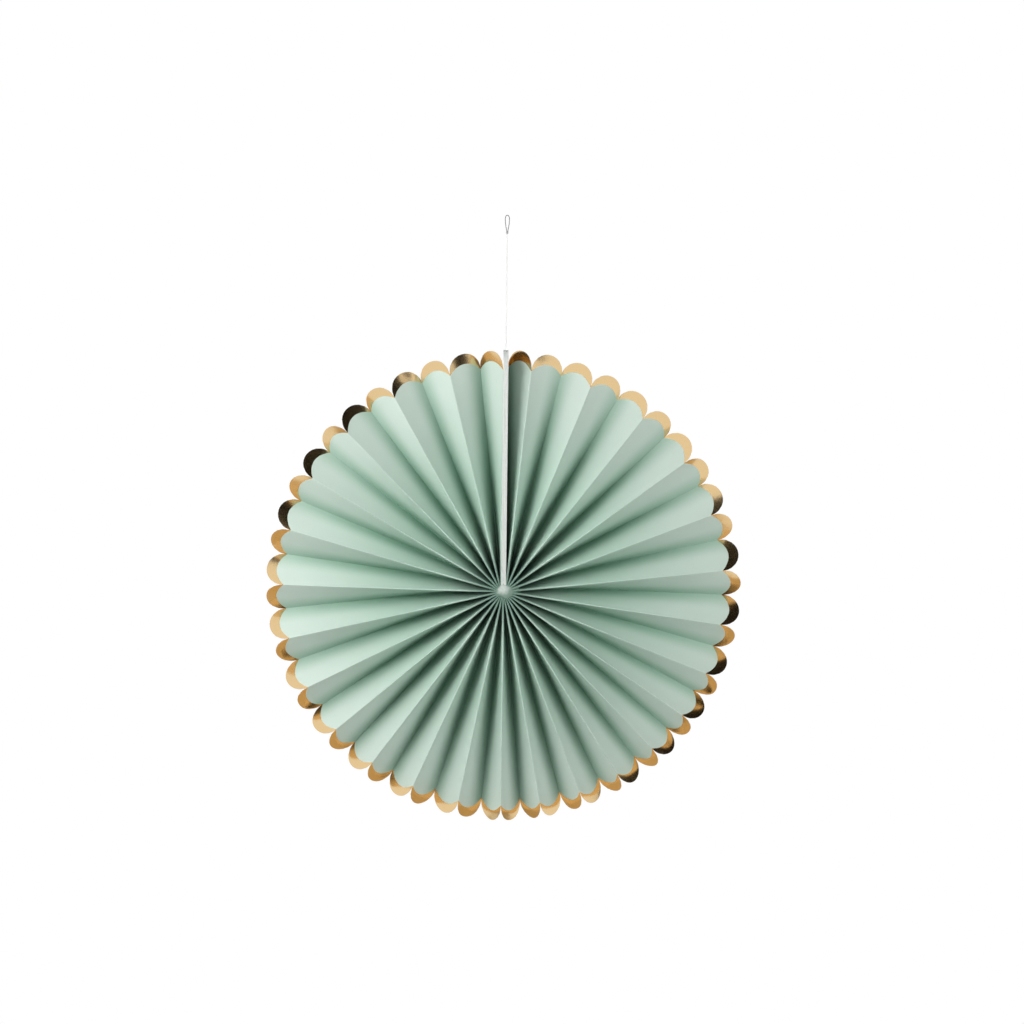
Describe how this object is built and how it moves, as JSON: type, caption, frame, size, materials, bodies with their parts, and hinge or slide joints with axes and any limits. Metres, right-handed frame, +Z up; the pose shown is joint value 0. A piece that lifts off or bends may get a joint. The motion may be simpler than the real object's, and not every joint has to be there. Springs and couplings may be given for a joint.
{
  "type": "paper fan rosette",
  "caption": "Round accordion-folded paper fan with a scalloped foil edge, closed by stiff end cards that are taped together, and hung as a decoration from a thread with a small loop.",
  "frame": {"origin": "the top of the hanging loop's inside, where a hook or pin carries it", "axes": "+Z up along the thread, the front with the foil edge faces -Y, and +X is to the right seen from the front"},
  "size_m": [0.3041, 0.023, 0.3898],
  "materials": {
    "sage_paper": "matte, with gold foil on the scalloped edge",
    "white_card": "matte",
    "clear_tape": "satin",
    "white_thread": "matte"
  },
  "bodies": {
    "root": {"pleated_fan": "sage_paper", "end_card_left": "white_card", "end_card_right": "white_card", "seam_tape": "clear_tape", "centre_tie": "white_thread", "hanging_thread": "white_thread"}
  },
  "joints": []
}
